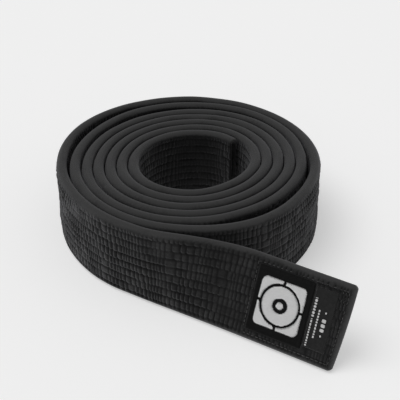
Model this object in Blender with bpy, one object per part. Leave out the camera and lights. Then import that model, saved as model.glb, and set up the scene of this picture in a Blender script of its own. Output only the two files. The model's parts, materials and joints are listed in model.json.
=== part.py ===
"""Quilted cotton belt, rolled into a flat coil that stands on its edge, with its labelled end swung out.

Metres, +Z up. The origin is on the ground, under the centre of the bounding box.
The strap follows one plan line, the foot of its outer face: a spiral, then a straight free end that leans back.
"""

import math

import bpy
import numpy as np

# The strap, in millimetres, as is every length below until the meshes are made.
WIDTH = 48.6
THICK = 6.0
RIM = 1.2
COVER = 0.9
GAP = 0.3
PLY = 1.0
PLIES = 3
SEAM = 0.6

# The plan of the coil: radius of the outer face every 30 degrees.
STEP = 30.0
INNER_RADII = [33.9, 36.5, 37.9, 37.0, 36.5, 36.5, 36.5, 36.3, 35.0, 33.3, 31.1, 31.4]
TURN_PITCH = 7.05
LOOSE_FROM = 1800.0
LOOSE_RADII = [
    69.2, 72.8, 75.7, 76.9, 78.0, 76.5, 75.9, 74.9, 74.4, 74.9, 76.5,
    75.8, 77.9, 80.0, 82.4, 85.2, 87.3, 87.8, 84.3, 81.3, 80.8,
]
INNER_END = 47.5
LIFT_OFF = 2400.0
STATION = 15.0
COIL_CENTRE = (0.951, -26.499)

# The free end, measured along it from where it leaves the coil.
FREE_LENGTH = 133.5
FREE_HEADING = math.radians(-31.3)
LEAN = math.radians(25.0)
LEAN_FROM = 8.0
LEAN_OVER = 70.0
FREE_STATION = 7.0

# Stitch rows, threads and labels: distances along the free end, heights from the lower rim.
ROWS = 9
FIRST_ROW = 3.9
ROW_PITCH = 5.0
THREAD_WIDE = 0.6
THREAD_PROUD = 0.4
ROWS_FROM = 2100.0
BORDER = (77.2, 130.5, 3.6, 44.6)
LABEL = (78.6, 111.4, 6.4, 43.6)
SIZE_LABEL = (112.2, 124.6, 8.6, 42.0)
LABEL_THICK = 0.4
EMBLEM_CENTRE = (95.0, 24.9)
EMBLEM_HALF = (13.2, 13.8)
DISC_RADIUS = 10.6
EMBLEM_GAP = 1.2
EYE = 4.2
BARS = [(114.7, 1.6, 26.0), (117.6, 1.2, 16.0), (121.2, 2.6, 8.0)]
DOTS = [(121.2, 18.3), (121.2, 32.3)]

COTTON = (0.012, 0.012, 0.013)
THREAD = (0.030, 0.030, 0.032)
CORE = (0.035, 0.034, 0.033)
LABEL_BLACK = (0.010, 0.010, 0.011)
SATIN = (0.020, 0.020, 0.022)
WHITE = (0.780, 0.780, 0.780)


def through(points, at):
    """Catmull-Rom value at each place along evenly spaced points; the first and last only steer it."""
    at = np.asarray(at, float)
    cell = np.clip(np.floor(at).astype(int), 1, len(points) - 3)
    u = at - cell
    a, b, c, d = (np.asarray(points)[cell + k] for k in (-1, 0, 1, 2))
    return b + 0.5 * u * (c - a + u * (2 * a - 5 * b + 4 * c - d + u * (3 * (b - c) + d - a)))


def radius(angle):
    """Radius of the outer face at an angle counted from the first turn on."""
    if angle < LOOSE_FROM:
        around = angle / STEP % 12
        ring = INNER_RADII[-1:] + INNER_RADII + INNER_RADII[:2]
        return float(through(ring, around + 1)) + TURN_PITCH * angle / 360
    before = INNER_RADII[-1] + TURN_PITCH * (LOOSE_FROM - STEP) / 360
    after = 2 * LOOSE_RADII[-1] - LOOSE_RADII[-2]
    ring = [before] + LOOSE_RADII + [after]
    return float(through(ring, (angle - LOOSE_FROM) / STEP + 1))


def coil_frame(angle):
    """Foot of the outer face, inward direction and lean at this angle."""
    turn = math.radians(angle)
    out = np.array([math.cos(turn), math.sin(turn)])
    return out * radius(angle), -out, 0.0


def free_frame(distance):
    """The same at this distance along the free end."""
    start, _, _ = coil_frame(LIFT_OFF)
    along = np.array([math.cos(FREE_HEADING), math.sin(FREE_HEADING)])
    inward = np.array([-along[1], along[0]])
    u = min(max((distance - LEAN_FROM) / LEAN_OVER, 0.0), 1.0)
    return start + along * distance, inward, LEAN * u * u * (3 - 2 * u)


def place(frame, depth, height):
    """A point of the strap: depth inwards from its outer face, height from its lower rim."""
    foot, inward, lean = frame
    raised = max((THICK - RIM) * math.sin(lean), THICK * math.sin(lean) - RIM * math.cos(lean), 0.0)
    plan = foot + inward * (depth * math.cos(lean) + height * math.sin(lean)) - np.array(COIL_CENTRE)
    return (plan[0], plan[1], height * math.cos(lean) - depth * math.sin(lean) + raised)


def material(name, colour, rough):
    made = bpy.data.materials.new(name)
    made.use_nodes = True
    shader = made.node_tree.nodes["Principled BSDF"]
    shader.inputs["Base Color"].default_value = (*colour, 1.0)
    shader.inputs["Roughness"].default_value = rough
    return made


def node(name, points, faces, colour, body, rough=0.9):
    """One sub-part. The free end's pieces hang from an empty on the line they swing about."""
    origin = HINGE if body == "free_end" else (0.0, 0.0, 0.0)
    local = (np.array(points) - np.array(origin)) / 1000
    mesh = bpy.data.meshes.new(name)
    mesh.from_pydata([tuple(p) for p in local], [], faces)
    mesh.update()
    mesh.materials.append(material(name, colour, rough))
    made = bpy.data.objects.new(name, mesh)
    bpy.context.scene.collection.objects.link(made)
    if body == "free_end":
        made.parent = bpy.data.objects["free_end_swing"]
    return made


def loft(name, frames, section, colour, body):
    """The section, a closed loop of (depth, height), carried along the frames and capped."""
    count = len(section)
    points = [place(frame, depth, height) for frame in frames for depth, height in section]
    faces = [tuple(range(count))]
    for i in range(len(frames) - 1):
        for j in range(count):
            a = i * count + j
            b = i * count + (j + 1) % count
            faces += [(b, a, b + count), (b + count, a, a + count)]
    last = (len(frames) - 1) * count
    faces.append(tuple(range(last, last + count))[::-1])
    return node(name, points, faces, colour, body)


def panel(name, outline, lift, thick, colour, hole=None, rough=0.9):
    """A flat piece on the outer face of the free end: outline and hole are loops of (distance, height)."""
    loops = [outline] if hole is None else [outline, hole]
    count = len(outline)
    points = []
    for depth in (-lift, -lift - thick):
        for loop in loops:
            points += [place(free_frame(s), depth, h) for s, h in loop]
    far = count * len(loops)
    faces = []
    for j in range(count):
        k = (j + 1) % count
        faces.append((j, k, k + far, j + far))
        if hole:
            faces.append((count + k, count + j, count + j + far, count + k + far))
            faces.append((j, count + j, count + k, k))
            faces.append((j + far, k + far, count + k + far, count + j + far))
    if not hole:
        faces.append(tuple(range(count))[::-1])
        faces.append(tuple(range(far, far + count)))
    return node(name, points, faces, colour, "free_end", rough)


def box(low_s, high_s, low_h, high_h):
    return [(low_s, low_h), (high_s, low_h), (high_s, high_h), (low_s, high_h)]


def arc(centre, radii, start, end, count):
    turns = np.radians(np.linspace(start, end, count))
    return [(centre[0] + radii[0] * math.cos(t), centre[1] + radii[1] * math.sin(t)) for t in turns]


def closed_arc(centre, radii, count):
    return arc(centre, radii, 0, 360 * (count - 1) / count, count)


def strap_outline(inset):
    """Outline of the strap's section, set in from its faces, with a point half way up each side."""
    low, high, middle = inset, WIDTH - inset, WIDTH / 2
    cut = max(RIM - inset, 0.0)
    thin, thick = inset, THICK - inset
    if cut == 0.0:
        return [(thick, low), (thin, low), (thin, middle), (thin, high), (thick, high)]
    return [
        (thick, low + cut), (thick - cut, low), (thin + cut, low), (thin, low + cut), (thin, middle),
        (thin, high - cut), (thin + cut, high), (thick - cut, high), (thick, high - cut),
    ]


def cover_section():
    """A sleeve folded round the core, open along a seam half way up the inner face."""
    below, above = WIDTH / 2 - SEAM / 2, WIDTH / 2 + SEAM / 2
    inside = [
        (THICK - COVER, above), (THICK - COVER, WIDTH - COVER), (COVER, WIDTH - COVER), (COVER, WIDTH / 2),
        (COVER, COVER), (THICK - COVER, COVER), (THICK - COVER, below),
    ]
    return [(THICK, below)] + strap_outline(0.0) + [(THICK, above)] + inside


def ply_section(index):
    near = COVER + GAP + index * (PLY + GAP)
    low, high = COVER + GAP, WIDTH - COVER - GAP
    far = near + PLY
    return [(far, low), (near, low), (near, WIDTH / 2), (near, high), (far, high), (far, WIDTH / 2)]


def bar_section(height, lift):
    """A flat thread on a face: lift is negative outside the outer face, above THICK outside the inner one."""
    half = THREAD_WIDE / 2
    low, high = sorted((lift, lift + math.copysign(THREAD_PROUD, lift)))
    return [(high, height - half), (low, height - half), (low, height + half), (high, height + half)]


def spaced(first, last, step):
    return list(np.linspace(first, last, max(2, round((last - first) / step) + 1)))


def stations(first, last):
    """Angles at every STATION degrees, the same ones on each turn, so that the flats of the turns nest."""
    inner = np.arange(math.ceil(first / STATION + 0.2), math.floor(last / STATION - 0.2) + 1) * STATION
    return [first, *inner, last]


def ellipse_corner(sign_s, sign_h):
    """The part of one quarter of the emblem's field that lies outside the disc."""
    s, h = EMBLEM_CENTRE
    wide, tall = EMBLEM_HALF
    reach = DISC_RADIUS + EMBLEM_GAP
    curve = arc((0.0, 0.0), (reach, reach), 10, 80, 9)
    edge = [(0.6 + 1.4, tall), (wide - 1.5, tall), (wide, tall - 1.5), (wide, 0.6 + 1.4)]
    loop = curve + edge
    points = [(s + sign_s * x, h + sign_h * y) for x, y in loop]
    return points[::-1] if sign_s * sign_h > 0 else points


for old in list(bpy.data.objects):
    bpy.data.objects.remove(old, do_unlink=True)

axis_foot = free_frame(GAP / 2)[0] - np.array(COIL_CENTRE)
HINGE = (float(axis_foot[0]), float(axis_foot[1]), 0.0)
swing = bpy.data.objects.new("free_end_swing", None)
swing.location = np.array(HINGE) / 1000
bpy.context.scene.collection.objects.link(swing)

# The strap in two lengths: the coil, and the free end that swings.
flap = math.degrees((COVER + GAP) / radius(INNER_END))
coil_frames = [coil_frame(angle) for angle in stations(INNER_END + flap, LIFT_OFF)]
free_stop = FREE_LENGTH - COVER - GAP
free_frames = [free_frame(distance) for distance in spaced(GAP, free_stop, FREE_STATION)]
for label, frames, body in (("coil", coil_frames, "coil"), ("free_end", free_frames, "free_end")):
    loft("cover_" + label, frames, cover_section(), COTTON, body)
    for index in range(PLIES):
        loft(f"core_ply_{index + 1}_{label}", frames, ply_section(index), CORE, body)

# The flaps that close the two ends.
flap_frames = [coil_frame(INNER_END), coil_frame(INNER_END + flap * COVER / (COVER + GAP))]
loft("end_flap_inner", flap_frames, strap_outline(0.0), COTTON, "coil")
flap_frames = [free_frame(FREE_LENGTH - COVER), free_frame(FREE_LENGTH)]
loft("end_flap_labelled", flap_frames, strap_outline(0.0), COTTON, "free_end")

# Stitch rows where the outer face is bare, and the stitching across the inner end.
row_angles = stations(ROWS_FROM, LIFT_OFF - 3.0)
row_distances = spaced(2.0, BORDER[0] - 1.5, FREE_STATION)
for index in range(ROWS):
    section = bar_section(FIRST_ROW + index * ROW_PITCH, -GAP)
    name = f"stitch_row_{index + 1}"
    loft(name + "_coil", [coil_frame(angle) for angle in row_angles], section, THREAD, "coil")
    loft(name + "_free_end", [free_frame(s) for s in row_distances], section, THREAD, "free_end")
for index, angle in enumerate((INNER_END + 5.0, INNER_END + 8.0)):
    depth = THICK + GAP
    low, high = FIRST_ROW, WIDTH - FIRST_ROW
    tall = [(depth + THREAD_PROUD, low), (depth, low), (depth, high), (depth + THREAD_PROUD, high)]
    frames = [coil_frame(angle), coil_frame(angle + 0.9)]
    loft(f"inner_end_stitch_{index + 1}", frames, tall, THREAD, "coil")

# The labels on the free end.
low_s, high_s, low_h, high_h = BORDER
inner_box = box(low_s + THREAD_WIDE, high_s - THREAD_WIDE, low_h + THREAD_WIDE, high_h - THREAD_WIDE)
panel("label_border_stitch", box(*BORDER), GAP, THREAD_PROUD, THREAD, hole=inner_box)
panel("label_ground", box(*LABEL), GAP, LABEL_THICK, LABEL_BLACK)
panel("size_label", box(*SIZE_LABEL), GAP, LABEL_THICK, SATIN, rough=0.6)
above_label = 2 * GAP + LABEL_THICK
disc = closed_arc(EMBLEM_CENTRE, (DISC_RADIUS, DISC_RADIUS), 32)
eye = closed_arc(EMBLEM_CENTRE, (EYE, EYE), 32)
panel("emblem_disc", disc, above_label, LABEL_THICK, WHITE, hole=eye)
panel("emblem_eye", closed_arc(EMBLEM_CENTRE, (EYE / 2, EYE / 2), 12), above_label, LABEL_THICK, WHITE)
for index, (sign_s, sign_h) in enumerate(((1, 1), (-1, 1), (-1, -1), (1, -1))):
    corner = ellipse_corner(sign_s, sign_h)
    panel(f"emblem_corner_{index + 1}", corner, above_label, LABEL_THICK, WHITE)
middle = (SIZE_LABEL[2] + SIZE_LABEL[3]) / 2
for index, (s, wide, tall) in enumerate(BARS):
    bar = box(s - wide / 2, s + wide / 2, middle - tall / 2, middle + tall / 2)
    panel(f"print_bar_{index + 1}", bar, above_label, 0.2, WHITE)
for index, (s, h) in enumerate(DOTS):
    panel(f"print_dot_{index + 1}", closed_arc((s, h), (0.7, 0.7), 8), above_label, 0.2, WHITE)
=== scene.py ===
import json
import math

import bpy
import numpy as np
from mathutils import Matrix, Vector

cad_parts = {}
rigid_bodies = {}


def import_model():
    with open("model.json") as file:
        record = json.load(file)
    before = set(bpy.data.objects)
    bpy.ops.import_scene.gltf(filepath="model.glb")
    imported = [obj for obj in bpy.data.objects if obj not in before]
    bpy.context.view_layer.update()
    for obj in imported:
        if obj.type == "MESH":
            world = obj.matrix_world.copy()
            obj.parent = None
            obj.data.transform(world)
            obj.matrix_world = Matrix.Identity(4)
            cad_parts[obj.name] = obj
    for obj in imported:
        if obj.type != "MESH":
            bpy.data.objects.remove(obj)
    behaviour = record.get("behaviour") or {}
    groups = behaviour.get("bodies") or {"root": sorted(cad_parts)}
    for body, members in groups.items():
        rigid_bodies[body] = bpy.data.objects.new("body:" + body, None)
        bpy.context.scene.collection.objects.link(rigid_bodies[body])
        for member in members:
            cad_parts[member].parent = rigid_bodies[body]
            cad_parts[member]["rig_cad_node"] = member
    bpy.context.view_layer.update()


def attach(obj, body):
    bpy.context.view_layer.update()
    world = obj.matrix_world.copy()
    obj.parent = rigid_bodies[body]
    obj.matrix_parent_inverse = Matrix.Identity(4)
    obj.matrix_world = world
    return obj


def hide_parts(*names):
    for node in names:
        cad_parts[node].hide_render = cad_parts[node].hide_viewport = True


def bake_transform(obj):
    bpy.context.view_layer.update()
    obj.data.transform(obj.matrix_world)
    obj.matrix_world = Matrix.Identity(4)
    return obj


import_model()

# The strap's plan line, as in the CAD source, in millimetres and degrees.
# Only INNER_END differs: the CAD has 47.5.
WIDTH = 48.6
STEP = 30.0
INNER_RADII = [33.9, 36.5, 37.9, 37.0, 36.5, 36.5, 36.5, 36.3, 35.0, 33.3, 31.1, 31.4]
TURN_PITCH = 7.05
LOOSE_FROM = 1800.0
LOOSE_RADII = [
    69.2, 72.8, 75.7, 76.9, 78.0, 76.5, 75.9, 74.9, 74.4, 74.9, 76.5,
    75.8, 77.9, 80.0, 82.4, 85.2, 87.3, 87.8, 84.3, 81.3, 80.8,
]
INNER_END = 43.5
LIFT_OFF = 2400.0
COIL_CENTRE = np.array([0.951, -26.499])
FREE_LENGTH = 133.5
FREE_HEADING = math.radians(-31.3)
LEAN = math.radians(25.0)
LEAN_FROM = 8.0
LEAN_OVER = 70.0

# The quilting: nine stitch rows, and puckers between them. MIDDLE is the depth of the strap's middle layer,
# and half its thickness is HALF_CREST less QUILT_BASE, plus up to PUCKER_RISE.
ROWS = 9
FIRST_ROW = 3.9
ROW_PITCH = 5.0
PUCKER = 2.75
MIDDLE = 3.2
HALF_CREST = 3.24
VALLEY_DROP = 0.42
VALLEY_WIDE = 0.75
PUCKER_RISE = 1.00
QUILT_BASE = 0.62
RIM_ROUND = 3.0
END_SHORT = 0.8  # the labelled end is this much short of FREE_LENGTH,
END_SLANT = 2.6  # and this much more at its lower corner
END_ROUND = 2.6
VALLEY_HALF = HALF_CREST - QUILT_BASE - VALLEY_DROP

# Labels on the free end: distances along it and heights from the lower rim.
BORDER = (77.2, 130.5, 3.6, 44.6)
LABEL = (78.6, 111.4, 6.4, 43.6)
SIZE_LABEL = (112.2, 124.6, 8.6, 42.0)
UNDER_LABEL = 0.30
LABEL_END = SIZE_LABEL[1]
EMBLEM_CENTRE = (95.0, 24.9)
EMBLEM_HALF = (13.2, 13.8)
DISC_RADIUS = 10.6
EMBLEM_GAP = 1.2
EYE = 4.2

# The camera.
LENS = 85.55
SENSOR = 36.0
CAMERA_AT = (0.002871, -0.47269, 0.34944)
CAMERA_TO = (0.002871, 0.056336, -0.0013)


# ---- plan line -------------------------------------------------------------

def through(points, at):
    """Catmull-Rom value at each place along evenly spaced points; the first and last only steer it."""
    points = np.asarray(points, float)
    at = np.asarray(at, float)
    cell = np.clip(np.floor(at).astype(int), 1, len(points) - 3)
    u = at - cell
    a, b, c, d = (points[cell + k] for k in (-1, 0, 1, 2))
    return b + 0.5 * u * (c - a + u * (2 * a - 5 * b + 4 * c - d + u * (3 * (b - c) + d - a)))


def radius(angle):
    """Radius of the outer face at each angle, counted from the first turn on."""
    angle = np.asarray(angle, float)
    ring = INNER_RADII[-1:] + INNER_RADII + INNER_RADII[:2]
    tight = through(ring, angle / STEP % 12 + 1) + TURN_PITCH * angle / 360
    before = INNER_RADII[-1] + TURN_PITCH * (LOOSE_FROM - STEP) / 360
    after = 2 * LOOSE_RADII[-1] - LOOSE_RADII[-2]
    loose = through([before] + LOOSE_RADII + [after], (angle - LOOSE_FROM) / STEP + 1)
    return np.where(angle < LOOSE_FROM, tight, loose)


def ring_point(angle):
    turn = np.radians(angle)
    return radius(angle)[..., None] * np.stack([np.cos(turn), np.sin(turn)], -1)


DENSE = np.arange(INNER_END, LIFT_OFF + 0.01, 0.25)
DENSE_STEPS = np.hypot(*np.diff(ring_point(DENSE), axis=0).T)
DENSE_AT = np.concatenate([[0.0], np.cumsum(DENSE_STEPS)])
DENSE_AT -= DENSE_AT[-1]
INNER_AT = DENSE_AT[0]
ALONG = np.array([math.cos(FREE_HEADING), math.sin(FREE_HEADING)])


def foot(at):
    """Foot of the outer face. at is the distance along the strap: 0 where it leaves the coil."""
    at = np.asarray(at, float)
    coil = ring_point(np.interp(np.minimum(at, 0.0), DENSE_AT, DENSE))
    return coil + np.maximum(at, 0.0)[..., None] * ALONG - COIL_CENTRE


def at_angle(angle):
    return float(np.interp(angle, DENSE, DENSE_AT))


def inward(at):
    """Horizontal direction through the strap, from its outer face to its inner one."""
    at = np.asarray(at, float)
    back = np.clip(at - INNER_AT, 0.0, 3.0)
    ahead = foot(at + 3.0) - foot(at - back)
    ahead /= np.linalg.norm(ahead, axis=-1, keepdims=True)
    return np.stack([-ahead[..., 1], ahead[..., 0]], -1)


def lean(at):
    u = np.clip((np.asarray(at, float) - LEAN_FROM) / LEAN_OVER, 0.0, 1.0)
    return LEAN * u * u * (3 - 2 * u)


def raised(at):
    """How far the leaning strap is lifted so that its rounded lower rim rests on the ground."""
    tilt = lean(at)[..., None]
    turn = np.linspace(0.0, math.pi, 25)
    depth = MIDDLE - HALF_CREST * np.cos(turn)
    height = RIM_ROUND * (1 - np.sin(turn))
    return 0.02 - (height * np.cos(tilt) - depth * np.sin(tilt)).min(axis=-1)


def smooth(low, high, x):
    u = np.clip((x - low) / (high - low), 0.0, 1.0)
    return u * u * (3 - 2 * u)


def place(at, height, depth):
    """Points of the strap in millimetres: height from its lower rim, depth inwards from its outer face."""
    at, height, depth = np.broadcast_arrays(*(np.asarray(x, float) for x in (at, height, depth)))
    if at.max() > LABEL_END:
        short = END_SHORT + END_SLANT * np.clip(1 - height / WIDTH, 0, 1) ** 2
        at = at - short * smooth(LABEL_END, LABEL_END + 8.0, at)
    line = at[..., :1] if at.ndim > 1 and np.ptp(at, axis=-1).max() == 0 else at
    tilt = lean(line)
    across = depth * np.cos(tilt) + height * np.sin(tilt)
    plan = foot(line) + inward(line) * across[..., None]
    up = height * np.cos(tilt) - depth * np.sin(tilt) + raised(line)
    return np.concatenate([plan, up[..., None]], -1)


# ---- cloth -----------------------------------------------------------------

NOISE = {}


def noise(seed, x, y=0.0):
    """Smooth noise from -1 to 1."""
    if seed not in NOISE:
        NOISE[seed] = np.random.RandomState(seed).uniform(-1, 1, (1024, 64))
    table = NOISE[seed]
    x, y = np.broadcast_arrays(np.asarray(x, float), np.asarray(y, float))
    i, j = np.floor(x).astype(int), np.floor(y).astype(int)
    u, v = x - i, y - j
    u, v = u * u * (3 - 2 * u), v * v * (3 - 2 * v)
    low = table[i % 1024, j % 64] * (1 - u) + table[(i + 1) % 1024, j % 64] * u
    high = table[i % 1024, (j + 1) % 64] * (1 - u) + table[(i + 1) % 1024, (j + 1) % 64] * u
    return low * (1 - v) + high * v


def beyond_box(at, height, box):
    """Distance outside a box on the face, negative inside it."""
    low_s, high_s, low_h, high_h = box
    return np.maximum(np.maximum(low_s - at, at - high_s), np.maximum(low_h - height, height - high_h))


def under_label(at, height):
    """1 where a label lies flat on the outer face, 0 away from it."""
    beyond = np.minimum(beyond_box(at, height, LABEL), beyond_box(at, height, SIZE_LABEL))
    return 1 - smooth(-0.2, 0.9, beyond)


def quilting(at, height, edge, side):
    """How far the cloth stands out from the plain padded face, and a painted shade from 0 to 1: darker in the
    stitch-row valleys, between the puckers and on the whole inner face, with random patches of tone.
    """
    seed = 40 * side
    band = np.floor((height - FIRST_ROW) / ROW_PITCH) + 1
    nearest = np.clip(np.round((height - FIRST_ROW) / ROW_PITCH), 0, ROWS - 1)
    off_row = height - (FIRST_ROW + nearest * ROW_PITCH)
    slack = 0.62 + 0.38 * noise(seed + 7, at / 6.0, nearest * 0.77 + 0.3)
    valley = slack * np.exp(-((off_row / VALLEY_WIDE) ** 2))
    drift = 1.15 * noise(seed + 1, at / 9.0, band * 0.37) + 0.30 * noise(seed + 2, at / 4.0, band * 0.9)
    phase = at / PUCKER + drift
    cell = np.floor(phase)
    across = 2 * (phase - cell) - 1
    size = 0.72 + 0.42 * noise(seed + 3, cell + 0.5, band + 0.5)
    size = np.clip(size + 0.35 * noise(seed + 4, at / 21.0, height / 13.0), 0.1, 1.3)
    hump = np.clip(1 - np.abs(across) ** 3.0, 0.0, 1.0)
    quilted = smooth(1.5, 3.3, edge)
    puff = PUCKER_RISE * (1 - 0.3 * side) * size * hump * np.sqrt(1 - valley) * quilted
    pinch = VALLEY_DROP * valley * smooth(1.2, 2.6, edge)
    loose = 0.13 * noise(seed + 5, at / 13.0, height / 9.0) + 0.07 * noise(seed + 6, at / 3.1, height / 2.4)
    # Painted shade: the value below darkens the colour at the stitch-row valleys, between the puckers and on
    # the whole inner face; patch adds random tone by cell.
    patch = 0.30 + 0.34 * noise(seed + 8, cell + 0.5, band + 0.5)
    patch = patch + 0.22 * noise(seed + 9, at / 8.0, height / 6.0)
    crease_shade_and_tone = np.clip((patch + 0.60 * valley + 1.10 * (1 - hump) + 0.45 * side) * quilted, 0.0, 1.0)
    return puff - pinch - QUILT_BASE * quilted + loose * smooth(0.0, 2.5, edge), crease_shade_and_tone


def section(face_count, back_count, rim_count):
    """Points round the section: side, how far on the rim (1 past it), and share of the face."""
    rim = 1 - np.cos(np.linspace(0, math.pi / 2, rim_count + 1))[:-1]
    loops = []
    for count in (face_count, back_count):
        codes = [(r, 0.0) for r in rim] + [(1.0, f) for f in np.linspace(0.0, 1.0, count)]
        loops.append(np.array(codes + [(r, 1.0) for r in rim[::-1]]))
    outer, inner = loops[0], loops[1][1:-1][::-1]
    side = np.concatenate([np.zeros(len(outer), int), np.ones(len(inner), int)])
    return side, np.concatenate([outer, inner])


def strap_rings(at, inset, counts, round_end):
    """Rings of points along the strap, with each point's place on the cloth, its painted crease shade with
    random tone, and a painted highlight along the rims.
    """
    side, codes = section(*counts)
    at, inset = np.asarray(at, float)[:, None], np.asarray(inset, float)[:, None]
    low, high = np.zeros_like(at), WIDTH + 0.12 * noise(7, at / 17.0)
    to_end = np.full_like(at, 100.0)
    if round_end:
        to_end = np.maximum(FREE_LENGTH - at, 0.0)
        short = np.maximum(END_ROUND - to_end, 0.0)
        cut = END_ROUND - np.sqrt(np.maximum(END_ROUND ** 2 - short ** 2, 0.0))
        low, high = low + 0.85 * cut, high - 1.1 * cut
    on_rim, share = codes[:, 0][None, :], codes[:, 1][None, :]
    rim_height = np.where(share < 0.5, low + RIM_ROUND * on_rim, high - RIM_ROUND * on_rim)
    face_height = low + RIM_ROUND + (high - low - 2 * RIM_ROUND) * share
    height = np.where(on_rim < 1.0, rim_height, face_height)
    edge = np.minimum(np.minimum(height - low, high - height), to_end)
    near = np.clip((RIM_ROUND - edge) / RIM_ROUND, 0.0, 1.0)
    half = HALF_CREST * (1 - near ** 2.0) ** 0.5
    bump, crease_shade_and_tone = np.zeros(half.shape), np.zeros(half.shape)
    for index in (0, 1):
        part = side == index
        bump[:, part], crease_shade_and_tone[:, part] = quilting(at, height[:, part], edge[:, part], index)
    covered = np.where(side == 0, under_label(at, height), 0.0)
    bump = bump * (1 - covered) - UNDER_LABEL * covered
    half = half + bump * smooth(0.0, 3.0, edge)
    half = half * (1 - inset / HALF_CREST)
    height = WIDTH / 2 + (height - WIDTH / 2) * (1 - 2 * inset / WIDTH)
    points = place(at, height, MIDDLE + np.where(side == 0, -half, half))
    along = np.broadcast_to(at, height.shape)
    cloth = np.stack([along, height, np.broadcast_to(side * 60.0, height.shape)], -1)
    # The last value is a painted highlight: 1 at the top of each rim, falling to 0 on the faces.
    return points, cloth, crease_shade_and_tone * (1 - covered), 1 - smooth(0.2, 2.3, edge)


# ---- meshes ----------------------------------------------------------------

def signed_volume(points, quads):
    a, b, c, d = (points[quads[:, k]] for k in range(4))
    first = np.einsum("ij,ij->i", a, np.cross(b, c)).sum()
    return first + np.einsum("ij,ij->i", a, np.cross(c, d)).sum()


def grid_normals(points):
    """Normals of a tube of rings, each ring's from the rings before and after it."""
    ahead = np.gradient(points, axis=0)
    around = np.roll(points, -1, axis=1) - np.roll(points, 1, axis=1)
    normal = np.cross(ahead, around)
    normal /= np.maximum(np.linalg.norm(normal, axis=-1, keepdims=True), 1e-12)
    middle = points - points.mean(axis=1, keepdims=True)
    return normal if (normal * middle).sum() > 0 else -normal


def make_object(name, points, quads, fans, material, layers=None, normals=None):
    """A closed mesh object from points in millimetres: smooth quads, and flat many-sided caps."""
    points = np.asarray(points, float)
    quads = np.asarray(quads, np.int64)
    if signed_volume(points - points.mean(axis=0), quads) < 0:
        quads = quads[:, ::-1]
    else:
        fans = [fan[::-1] for fan in fans]
    mesh = bpy.data.meshes.new(name)
    mesh.vertices.add(len(points))
    mesh.vertices.foreach_set("co", (points / 1000).astype(np.float32).ravel())
    corners = np.concatenate([quads.ravel(), *fans]).astype(np.int32)
    mesh.loops.add(len(corners))
    mesh.loops.foreach_set("vertex_index", corners)
    sizes = np.array([4] * len(quads) + [len(fan) for fan in fans])
    mesh.polygons.add(len(sizes))
    mesh.polygons.foreach_set("loop_start", np.concatenate([[0], np.cumsum(sizes)[:-1]]).astype(np.int32))
    mesh.polygons.foreach_set("use_smooth", sizes == 4)
    for layer, values in (layers or {}).items():
        values = np.asarray(values, np.float32)
        kind, key = ("FLOAT_VECTOR", "vector") if values.ndim == 2 else ("FLOAT", "value")
        mesh.attributes.new(layer, kind, "POINT").data.foreach_set(key, values.ravel())
    mesh.update(calc_edges=True)
    if normals is not None:
        at_corner = normals[corners[:4 * len(quads)]]
        caps = [np.zeros((len(fan), 3)) for fan in fans]
        mesh.normals_split_custom_set(np.concatenate([at_corner, *caps]))
    mesh.materials.append(material)
    made = bpy.data.objects.new(name, mesh)
    bpy.context.scene.collection.objects.link(made)
    return made


def ring_quads(rings, around):
    i = np.arange(rings - 1)[:, None] * around
    j = np.arange(around)[None, :]
    k = (j + 1) % around
    return np.stack([i + j, i + k, i + around + k, i + around + j], -1).reshape(-1, 4)


def strap(name, first, last, spacing, counts, material, labelled=False, cut_end=False):
    """One length of the strap, from first to last along it."""
    at = np.linspace(first, last, int(round((last - first) / spacing)) + 1)
    inset = np.zeros_like(at)
    if labelled:
        tip = last - END_ROUND * (1 - np.sin(np.linspace(0, math.pi / 2, 15)))
        at = np.concatenate([at[at < tip[0] - spacing / 2], tip[:-1], [last - 0.004]])
        inset = np.zeros_like(at)
    if cut_end:
        lip_at = first + np.array([3.4, 1.6, 0.6, 0.15, 0.0, 0.06, 0.28, 0.65])
        lip_inset = np.array([2.35, 2.25, 2.05, 1.7, 1.2, 0.7, 0.28, 0.06])
        keep = at > first + 0.9
        at, inset = np.concatenate([lip_at, at[keep]]), np.concatenate([lip_inset, inset[keep]])
    points, cloth, crease_shade_and_tone, rim_highlight = strap_rings(at, inset, counts, labelled)
    before = at[0] if cut_end else at[0] - spacing
    after = at[-1] if labelled else at[-1] + spacing
    ghosts = strap_rings(np.array([before, after]), np.array([inset[0], inset[-1]]), counts, labelled)[0]
    wider = np.concatenate([ghosts[:1], points, ghosts[1:]])
    normals = grid_normals(wider)[1:-1].reshape(-1, 3)
    rings, around = points.shape[:2]
    last_ring = (rings - 1) * around + np.arange(around)
    fans = [np.arange(around)[::-1], last_ring]
    layers = {"cloth": cloth.reshape(-1, 3), "crease_shade_and_tone": crease_shade_and_tone.ravel(), "rim_highlight": rim_highlight.ravel()}
    quads = ring_quads(rings, around)
    return make_object(name, points.reshape(-1, 3), quads, fans, material, layers, normals)


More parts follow.
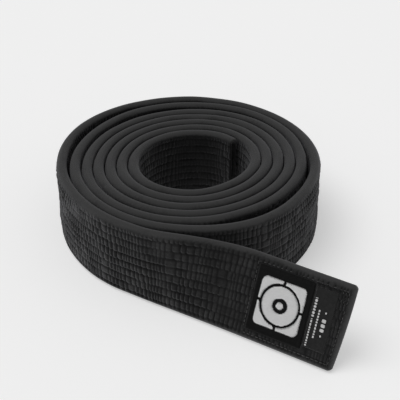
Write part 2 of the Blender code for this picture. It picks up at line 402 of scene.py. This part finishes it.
def tubes(name, paths, wide, proud, sides, material):
    """Tubes on the faces. Each path is rows of (distance, height, depth); wide and proud are half sizes."""
    points, quads, fans, marks, count = [], [], [], [], 0
    turn = np.arange(sides) * 2 * math.pi / sides
    for path in paths:
        path = np.asarray(path, float)
        ahead = np.gradient(path[:, :2], axis=0)
        ahead /= np.linalg.norm(ahead, axis=1, keepdims=True)
        scale = np.ones(len(path))
        scale[[0, -1]] = 0.45
        step = np.outer(scale * wide, np.cos(turn))
        at = path[:, :1] - ahead[:, 1:] * step
        height = path[:, 1:2] + ahead[:, :1] * step
        depth = path[:, 2:] + np.outer(scale * proud, np.sin(turn))
        points.append(place_each(at, height, depth))
        run = np.concatenate([[0.0], np.cumsum(np.hypot(*np.diff(path[:, :2], axis=0).T))])
        shift = np.full(len(path) * sides, count * 0.37)
        marks.append(np.stack([np.repeat(run, sides), np.tile(turn, len(path)), shift], -1))
        quads.append(ring_quads(len(path), sides) + count)
        end = count + (len(path) - 1) * sides
        fans += [np.arange(count, count + sides)[::-1], np.arange(end, end + sides)]
        count += len(path) * sides
    layers = {"cloth": np.concatenate(marks)}
    return make_object(name, np.concatenate(points), np.concatenate(quads), fans, material, layers)


def place_each(at, height, depth):
    shape = at.shape
    return place(at.reshape(-1), height.reshape(-1), depth.reshape(-1)).reshape(shape[0] * shape[1], 3)


def slab(name, box, corner, spacing, top, bottom, material):
    """A thin sewn-on piece: a closed grid over a box on the outer face. top gives its outer side's depth."""
    low_s, high_s, low_h, high_h = box
    count_s = int(round((high_s - low_s) / spacing)) + 1
    count_h = int(round((high_h - low_h) / spacing)) + 1
    u, v = np.meshgrid(np.linspace(-1, 1, count_s), np.linspace(-1, 1, count_h), indexing="ij")
    half_s, half_h = (high_s - low_s) / 2, (high_h - low_h) / 2
    s, h = u * half_s, v * half_h
    past_s, past_h = np.abs(s) - (half_s - corner), np.abs(h) - (half_h - corner)
    over = np.hypot(np.maximum(past_s, 0), np.maximum(past_h, 0))
    pull = np.where(over > corner, corner / np.maximum(over, 1e-9), 1.0)
    s = np.where(over > corner, np.sign(s) * (half_s - corner + (np.abs(s) - half_s + corner) * pull), s)
    h = np.where(over > corner, np.sign(h) * (half_h - corner + (np.abs(h) - half_h + corner) * pull), h)
    s, h = s + (low_s + high_s) / 2, h + (low_h + high_h) / 2
    edge = -beyond_box(s, h, box)
    outer = place_each(s, h, top(s, h, edge))
    inner = place_each(s, h, np.full(s.shape, bottom))
    i, j = np.meshgrid(np.arange(count_s - 1), np.arange(count_h - 1), indexing="ij")
    a = (i * count_h + j).reshape(-1)
    sheet = np.stack([a, a + count_h, a + count_h + 1, a + 1], -1)
    total = count_s * count_h
    grid = np.arange(total).reshape(count_s, count_h)
    rim = np.concatenate([grid[:-1, 0], grid[-1, :-1], grid[:0:-1, -1], grid[0, :0:-1]])
    side = np.stack([rim, rim + total, np.roll(rim, -1) + total, np.roll(rim, -1)], -1)
    quads = np.concatenate([sheet, (sheet + total)[:, ::-1], side])
    marks = np.stack([s.ravel(), h.ravel(), np.zeros(total)], -1)
    layers = {"cloth": np.concatenate([marks, marks]), "edge": np.tile(edge.ravel(), 2)}
    return make_object(name, np.concatenate([outer, inner]), quads, [], material, layers)


# ---- materials -------------------------------------------------------------

def shader_of(name, colour, rough, **sockets):
    material = bpy.data.materials.new(name)
    material.use_nodes = True
    shader = material.node_tree.nodes["Principled BSDF"]
    shader.inputs["Base Color"].default_value = (*colour, 1.0)
    shader.inputs["Roughness"].default_value = rough
    for socket, value in sockets.items():
        shader.inputs[socket.replace("_", " ")].default_value = value
    return material, material.node_tree, shader


def add(tree, kind, inputs=(), **settings):
    """A node, with settings set and its inputs given by name or number as values or as sockets to link."""
    made = tree.nodes.new("ShaderNode" + kind)
    for key, value in settings.items():
        setattr(made, key, value)
    for key, value in dict(inputs).items():
        if isinstance(value, bpy.types.NodeSocket):
            tree.links.new(value, made.inputs[key])
        else:
            made.inputs[key].default_value = value
    return made


def maths(tree, operation, a, b=0.0):
    return add(tree, "Math", {0: a, 1: b}, operation=operation).outputs[0]


def mark(tree, name, output):
    return add(tree, "Attribute", attribute_name=name).outputs[output]


def noise_node(tree, vector, scale, detail=2.0):
    return add(tree, "TexNoise", {"Vector": vector, "Scale": scale, "Detail": detail}).outputs["Fac"]


def ramp(tree, factor, stops):
    made = add(tree, "ValToRGB", {"Fac": factor})
    made.color_ramp.elements[0].position, made.color_ramp.elements[0].color = stops[0][0], (*stops[0][1], 1)
    made.color_ramp.elements[1].position, made.color_ramp.elements[1].color = stops[-1][0], (*stops[-1][1], 1)
    for position, colour in stops[1:-1]:
        made.color_ramp.elements.new(position).color = (*colour, 1)
    return made.outputs["Color"]


def grey(value):
    return (value, value, value)


def bump(tree, height, distance, strength=1.0, normal=None):
    inputs = {"Height": height, "Distance": distance / 1000, "Strength": strength}
    if normal is not None:
        inputs["Normal"] = normal
    return add(tree, "Bump", inputs).outputs["Normal"]


def weave(tree, cloth, pitch_s, pitch_h):
    """Height of a plain weave: yarns over and under each other, pitches in millimetres."""
    parts = add(tree, "SeparateXYZ", {0: cloth})
    warp = maths(tree, "SINE", maths(tree, "MULTIPLY", parts.outputs[0], math.pi / pitch_s))
    weft = maths(tree, "SINE", maths(tree, "MULTIPLY", parts.outputs[1], math.pi / pitch_h))
    return maths(tree, "MULTIPLY", warp, weft)


def cotton():
    material, tree, shader = shader_of(
        "black_cotton", grey(0.02), 0.92, Sheen_Weight=0.35, Sheen_Roughness=0.45,
        Sheen_Tint=(0.75, 0.75, 0.78, 1.0), Specular_IOR_Level=0.25,
    )
    cloth = mark(tree, "cloth", "Vector")
    crease_shade_and_tone, rim_highlight = mark(tree, "crease_shade_and_tone", "Fac"), mark(tree, "rim_highlight", "Fac")
    broad = noise_node(tree, cloth, 0.05, 2.0)
    fine = noise_node(tree, cloth, 0.8, 4.0)
    shade = maths(tree, "ADD", maths(tree, "MULTIPLY", broad, 0.75), maths(tree, "MULTIPLY", fine, 0.60))
    # Painted highlight: the colour is lightened towards the top of each rim.
    shade = maths(tree, "ADD", shade, maths(tree, "MULTIPLY", rim_highlight, 0.34))
    # Painted shade: the colour is darkened in the creases and on the inner face.
    shade = maths(tree, "SUBTRACT", shade, maths(tree, "MULTIPLY", crease_shade_and_tone, 0.55))
    stops = [(0.05, grey(0.003)), (0.40, grey(0.011)), (0.62, grey(0.024)), (0.95, grey(0.050))]
    colour = ramp(tree, shade, stops)
    tree.links.new(colour, shader.inputs["Base Color"])
    yarns = weave(tree, cloth, 0.42, 0.42)
    lint = noise_node(tree, cloth, 3.2, 3.0)
    normal = bump(tree, yarns, 0.05, 0.7)
    normal = bump(tree, lint, 0.16, 0.8, normal)
    tree.links.new(normal, shader.inputs["Normal"])
    rough = maths(tree, "ADD", maths(tree, "MULTIPLY", fine, 0.12), 0.84)
    tree.links.new(rough, shader.inputs["Roughness"])
    return material


def thread(name, low, high, rough, sheen):
    """Twisted yarn: colour changes a little from one stitch to the next."""
    material, tree, shader = shader_of(name, grey(high), rough, Sheen_Weight=sheen, Sheen_Roughness=0.4)
    cloth = mark(tree, "cloth", "Vector")
    colour = ramp(tree, noise_node(tree, cloth, 0.7, 3.0), [(0.25, grey(low)), (0.75, grey(high))])
    tree.links.new(colour, shader.inputs["Base Color"])
    parts = add(tree, "SeparateXYZ", {0: cloth})
    twist = maths(
        tree, "ADD", maths(tree, "MULTIPLY", parts.outputs[0], 14.0),
        maths(tree, "MULTIPLY", parts.outputs[1], 2.0),
    )
    tree.links.new(bump(tree, maths(tree, "SINE", twist), 0.03, 0.7), shader.inputs["Normal"])
    return material


def tape(name, low, high, rough, pitch_s, pitch_h, depth, sheen):
    """Woven label tape, with ribs much closer one way than the other, and a worn lighter edge."""
    material, tree, shader = shader_of(
        name, grey(high), rough, Sheen_Weight=sheen, Sheen_Roughness=0.35, Specular_IOR_Level=0.22
    )
    cloth, edge = mark(tree, "cloth", "Vector"), mark(tree, "edge", "Fac")
    rim = maths(tree, "SUBTRACT", 1.0, maths(tree, "MINIMUM", edge, 1.0))
    shade = maths(tree, "ADD", noise_node(tree, cloth, 0.5, 4.0), maths(tree, "MULTIPLY", rim, 0.25))
    colour = ramp(tree, shade, [(0.3, grey(low)), (0.85, grey(high))])
    tree.links.new(colour, shader.inputs["Base Color"])
    normal = bump(tree, weave(tree, cloth, pitch_s, pitch_h), depth, 0.8)
    normal = bump(tree, noise_node(tree, cloth, 0.35, 2.0), 0.35, 0.6, normal)
    tree.links.new(normal, shader.inputs["Normal"])
    return material


def floor_material():
    """A pale table that glows a little, as one lit evenly from all round does."""
    return shader_of(
        "pale_floor", grey(0.80), 0.9, Specular_IOR_Level=0.1,
        Emission_Color=(1.0, 1.0, 1.0, 1.0), Emission_Strength=0.40,
    )[0]


COTTON = cotton()
THREAD = thread("black_thread", 0.014, 0.030, 0.55, 0.25)
BORDER_THREAD = thread("border_thread", 0.030, 0.065, 0.55, 0.25)
EMBROIDERY = thread("white_embroidery", 0.78, 0.90, 0.5, 0.2)
LABEL_TAPE = tape("label_tape", 0.002, 0.006, 0.9, 0.30, 0.55, 0.05, 0.08)
SATIN_TAPE = tape("satin_tape", 0.010, 0.019, 0.45, 0.16, 0.9, 0.03, 0.3)
PRINT = thread("print_ink", 0.62, 0.78, 0.6, 0.0)

# ---- the strap -------------------------------------------------------------

OUTER_COUNTS = (92, 50, 8)
MIDDLE_COUNTS = (44, 36, 7)
INNER_COUNTS = (50, 92, 8)
SEAM_AT = -26.0
TURN_1_END = at_angle(INNER_END + 372.0)
TURN_4_END = at_angle(1300.0)
TURN_6_END = at_angle(2010.0)
OUTER_HALF = at_angle(2205.0)

FREE_COVERS = [
    "cover_free_end", "core_ply_1_free_end", "core_ply_2_free_end", "core_ply_3_free_end",
    "end_flap_labelled",
]

LENGTHS = [
    ("strap_inner_turn", INNER_AT, TURN_1_END, 0.55, INNER_COUNTS, "coil", ["end_flap_inner"]),
    ("strap_turns_2_to_4", TURN_1_END, TURN_4_END, 0.85, MIDDLE_COUNTS, "coil", ["core_ply_1_coil"]),
    ("strap_turns_4_to_6", TURN_4_END, TURN_6_END, 0.85, MIDDLE_COUNTS, "coil", ["core_ply_2_coil"]),
    ("strap_outer_turn_back", TURN_6_END, OUTER_HALF, 0.46, OUTER_COUNTS, "coil", ["core_ply_3_coil"]),
    ("strap_outer_turn_front", OUTER_HALF, SEAM_AT, 0.46, OUTER_COUNTS, "coil", ["cover_coil"]),
    ("strap_free_end", SEAM_AT, FREE_LENGTH, 0.43, OUTER_COUNTS, "free_end", FREE_COVERS),
]
BLEND_TO = 34.0


def ground(at):
    return tuple(place(np.array([at]), np.array([0.0]), np.array([0.0]))[0] / 1000)


def rides(piece, body, crosses=False):
    """The piece follows its body. One that crosses the lift-off line is not attached to a body; its transform
    is baked into its points instead.
    """
    if crosses:
        start, end = Vector(ground(0.0)), Vector(ground(BLEND_TO))
        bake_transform(piece)
    else:
        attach(piece, body)
    return piece


for name, first, last, spacing, counts, body, nodes in LENGTHS:
    piece = strap(
        name, first, last, spacing, counts, COTTON,
        labelled=name == "strap_free_end", cut_end=name == "strap_inner_turn",
    )
    rides(piece, body, crosses=body == "free_end")
    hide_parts(*nodes)


# ---- stitching -------------------------------------------------------------

def row_path(index, side, first, last):
    """One stitch row: the thread arches between its holes and dips into the cloth at each."""
    at = np.arange(first, last, PUCKER / 5)
    height = FIRST_ROW + index * ROW_PITCH + 0.10 * noise(90 + index, at / 11.0)
    arch = np.abs(np.sin(math.pi * at / PUCKER + index)) ** 0.8
    out = VALLEY_HALF - 0.16 + 0.30 * arch
    depth = MIDDLE - out if side == 0 else MIDDLE + out
    return np.stack([at, height, depth], -1)


def rows(name, spans, body, crosses, nodes):
    """The thread rows over each span of one face, as one piece."""
    paths = [row_path(index, side, first, last) for side, first, last in spans for index in range(ROWS)]
    piece = tubes(name, paths, 0.24, 0.20, 5, THREAD)
    rides(piece, body, crosses)
    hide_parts(*nodes)


coil_rows = [f"stitch_row_{index + 1}_coil" for index in range(ROWS)]
free_rows = [f"stitch_row_{index + 1}_free_end" for index in range(ROWS)]
rows("stitch_rows_coil", [(0, TURN_6_END, SEAM_AT)], "coil", False, coil_rows)
rows("stitch_rows_inner_turn", [(1, INNER_AT + 9.0, TURN_1_END)], "coil", False, [])
free_span = [(0, SEAM_AT, BORDER[0] - 1.2), (1, SEAM_AT, FREE_LENGTH - 4.5)]
rows("stitch_rows_free_end", free_span, "free_end", True, free_rows)


def stitches(start, end, depth, pitch=2.5, gap=0.55):
    """Single stitches in a straight line from one (distance, height) to another."""
    start, end = np.array(start, float), np.array(end, float)
    length = np.linalg.norm(end - start)
    ahead = (end - start) / length
    count = max(1, int(round(length / pitch)))
    found = []
    for k in range(count):
        t = np.linspace(k * length / count + gap / 2, (k + 1) * length / count - gap / 2, 6)
        arch = np.sin(np.linspace(0, math.pi, 6)) ** 0.6
        line = start + t[:, None] * ahead
        found.append(np.column_stack([line, depth - 0.24 * arch]))
    return found


# Depth of the strap's outer face where the stitches of the border lie.
FACE_DEPTH = MIDDLE - HALF_CREST + QUILT_BASE - 0.15
BORDER_SINK = 0.10
END_SINK = 0.05

low_s, high_s, low_h, high_h = BORDER
border = []
for start, end in (
    ((low_s, low_h), (high_s, low_h)), ((high_s, low_h), (high_s, high_h)),
    ((high_s, high_h), (low_s, high_h)), ((low_s, high_h), (low_s, low_h)),
):
    border += stitches(start, end, FACE_DEPTH + BORDER_SINK)
for at in (126.6, 128.4):
    border += stitches((at, 37.5), (at, 44.0), FACE_DEPTH + END_SINK, 2.1)
border_piece = tubes("label_border_stitches", border, 0.28, 0.22, 6, BORDER_THREAD)
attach(border_piece, "free_end")
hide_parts("label_border_stitch")

inner_depth = MIDDLE + HALF_CREST - QUILT_BASE + 0.12
inner_lines = []
for angle in (INNER_END + 5.0, INNER_END + 8.0):
    at = at_angle(angle)
    inner_lines += stitches((at, 3.9), (at, 44.7), inner_depth)
for path in inner_lines:
    path[:, 2] = 2 * inner_depth - path[:, 2]
inner_stitches = tubes("inner_end_stitches", inner_lines, 0.26, 0.22, 6, THREAD)
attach(inner_stitches, "coil")
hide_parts("inner_end_stitch_1", "inner_end_stitch_2")


# ---- labels ----------------------------------------------------------------

GROUND_TOP = -0.62
SATIN_TOP = -0.42


def label_top(s, h, edge):
    hem = np.exp(-(((edge - 1.0) / 0.8) ** 2))
    ribs = 0.045 * np.sin(2 * math.pi * h / 0.9)
    soft = 0.10 * noise(60, s / 7.0, h / 6.0) + 0.05 * noise(61, s / 2.5, h / 3.0)
    lip = np.sqrt(np.clip(1 - (1 - np.clip(edge / 0.5, 0, 1)) ** 2, 0, 1))
    return 0.05 + (GROUND_TOP - 0.05 - 0.26 * hem - ribs * 0.6 - soft) * lip


def satin_top(s, h, edge):
    soft = 0.13 * noise(62, s / 6.0, h / 9.0)
    lip = np.sqrt(np.clip(1 - (1 - np.clip(edge / 0.35, 0, 1)) ** 2, 0, 1))
    return 0.05 + (SATIN_TOP - 0.05 - soft - 0.02 * np.sin(2 * math.pi * s / 0.8)) * lip


label = slab("label_ground_patch", LABEL, 0.8, 0.34, label_top, 0.12, LABEL_TAPE)
satin = slab("size_label_patch", SIZE_LABEL, 0.5, 0.34, satin_top, 0.12, SATIN_TAPE)
for piece, node, slot in ((label, "label_ground", "label"), (satin, "size_label", "satin")):
    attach(piece, "free_end")
    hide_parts(node)


def in_corner(s, h):
    """Inside the four corner pieces of the emblem's field."""
    x, y = np.abs(s - EMBLEM_CENTRE[0]), np.abs(h - EMBLEM_CENTRE[1])
    wide, tall = EMBLEM_HALF
    outside_disc = np.hypot(x, y) > DISC_RADIUS + EMBLEM_GAP
    over = np.hypot(np.maximum(x - wide + 3.2, 0), np.maximum(y - tall + 3.2, 0))
    return outside_disc & (x < wide) & (y < tall) & (over < 3.2) & (x > 0.7) & (y > 0.7)


def in_disc(s, h):
    far = np.hypot(s - EMBLEM_CENTRE[0], h - EMBLEM_CENTRE[1])
    return (far < DISC_RADIUS) & (far > EYE)


def in_eye(s, h):
    return np.hypot(s - EMBLEM_CENTRE[0], h - EMBLEM_CENTRE[1]) < EYE / 2


def satin_stitch(inside, direction, pitch, base, seed):
    """Threads laid side by side at an angle over the shape."""
    across = direction + math.pi / 2
    ahead = np.array([math.cos(direction), math.sin(direction)])
    over = np.array([math.cos(across), math.sin(across)])
    run = np.arange(-22.0, 22.0, 0.08)
    pick = np.random.RandomState(seed)
    found = []
    for offset in np.arange(-22.0, 22.0, pitch):
        line = np.array(EMBLEM_CENTRE) + run[:, None] * ahead + offset * over
        hit = inside(line[:, 0], line[:, 1])
        change = np.flatnonzero(np.diff(np.concatenate([[0], hit.astype(int), [0]])))
        for first, last in zip(change[::2], change[1::2]):
            low, high = run[first] - pick.uniform(0, 0.15), run[last - 1] + pick.uniform(0, 0.15)
            if high - low < 0.8:
                continue
            t = np.linspace(0, 1, max(4, int((high - low) / 1.3) + 2))
            line_points = np.array(EMBLEM_CENTRE) + (low + t * (high - low))[:, None] * ahead + offset * over
            arch = 1 - np.abs(2 * t - 1) ** 5
            depth = base - (0.42 + pick.uniform(-0.03, 0.03)) * arch
            found.append(np.column_stack([line_points, depth]))
    return found


EMBLEM_BASE = GROUND_TOP + 0.10
EMBLEM_PITCH = 0.46


def embroidered(name, inside, direction, seed):
    threads = satin_stitch(inside, math.radians(direction), EMBLEM_PITCH, EMBLEM_BASE, seed)
    return tubes(name, threads, 0.27, 0.22, 6, EMBROIDERY)


disc = embroidered("emblem_disc_threads", in_disc, 20, 5)
eye = embroidered("emblem_eye_threads", in_eye, 110, 6)
corners = embroidered("emblem_corner_threads", in_corner, -45, 7)
for piece, nodes in (
    (disc, ["emblem_disc"]), (eye, ["emblem_eye"]),
    (corners, [f"emblem_corner_{index + 1}" for index in range(4)]),
):
    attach(piece, "free_end")
    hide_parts(*nodes)


def dashes(at, low, high, sizes, gap, seed):
    """A printed line: short plain strokes along the height, of mixed lengths."""
    pick = np.random.RandomState(seed)
    found, h = [], low
    while h < high:
        size = min(pick.uniform(*sizes), high - h)
        if size > 0.4:
            along = h + size * np.array([0.0, 0.12, 0.5, 0.88, 1.0])
            found.append(np.column_stack([np.full(5, at), along, np.full(5, SATIN_TOP - 0.16)]))
        h += size + gap
    return found


marks = [
    (dashes(113.9, 9.6, 24.9, (0.7, 1.5), 0.42, 11), 0.48),
    (dashes(113.9, 25.9, 36.5, (1.0, 1.5), 0.48, 12), 0.72),
    (dashes(116.9, 15.0, 31.3, (0.7, 1.4), 0.42, 13), 0.50),
    (dashes(120.6, 19.5, 27.7, (1.5, 2.0), 0.75, 14), 1.15),
    (dashes(120.6, 16.7, 17.8, (1.0, 1.1), 0.5, 15), 0.42),
    (dashes(120.6, 29.5, 30.6, (1.0, 1.1), 0.5, 16), 0.42),
]
print_lines = ["print_bar_1", None, "print_bar_2", "print_bar_3", "print_dot_1", "print_dot_2"]
for index, (paths, wide) in enumerate(marks):
    piece = tubes(f"print_line_{index + 1}", paths, wide, 0.09, 8, PRINT)
    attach(piece, "free_end")
    if print_lines[index]:
        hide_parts(print_lines[index])

# ---- floor, light and camera -------------------------------------------------

FLOOR_HALF = 6.0  # metres


def floor():
    corners = [(x * FLOOR_HALF, y * FLOOR_HALF, 0) for x, y in ((-1, -1), (1, -1), (1, 1), (-1, 1))]
    mesh = bpy.data.meshes.new("floor")
    mesh.from_pydata(corners, [], [(0, 1, 2, 3)])
    mesh.materials.append(floor_material())
    made = bpy.data.objects.new("floor", mesh)
    bpy.context.scene.collection.objects.link(made)
    return made


floor_piece = floor()


def light(name, kind, energy, at, towards=(0, 0, 0), **settings):
    data = bpy.data.lights.new(name, kind)
    data.energy = energy
    for key, value in settings.items():
        setattr(data, key, value)
    made = bpy.data.objects.new(name, data)
    made.location = at
    made.rotation_euler = (Vector(towards) - Vector(at)).to_track_quat("-Z", "Y").to_euler()
    bpy.context.scene.collection.objects.link(made)
    return made


light("key", "SUN", 0.90, (-1.0, -0.15, 2.3), angle=math.radians(42))

world = bpy.data.worlds.new("studio")
world.use_nodes = True
world.node_tree.nodes["Background"].inputs["Color"].default_value = (1, 1, 1, 1)
world.node_tree.nodes["Background"].inputs["Strength"].default_value = 0.32
bpy.context.scene.world = world

camera_data = bpy.data.cameras.new("camera")
camera_data.lens = LENS
camera_data.sensor_width = SENSOR
camera_data.clip_start, camera_data.clip_end = 0.05, 50.0
camera = bpy.data.objects.new("camera", camera_data)
camera.location = CAMERA_AT
camera.rotation_euler = (Vector(CAMERA_TO) - Vector(CAMERA_AT)).to_track_quat("-Z", "Y").to_euler()
bpy.context.scene.collection.objects.link(camera)
bpy.context.scene.camera = camera
bpy.context.scene.view_settings.view_transform = "Standard"
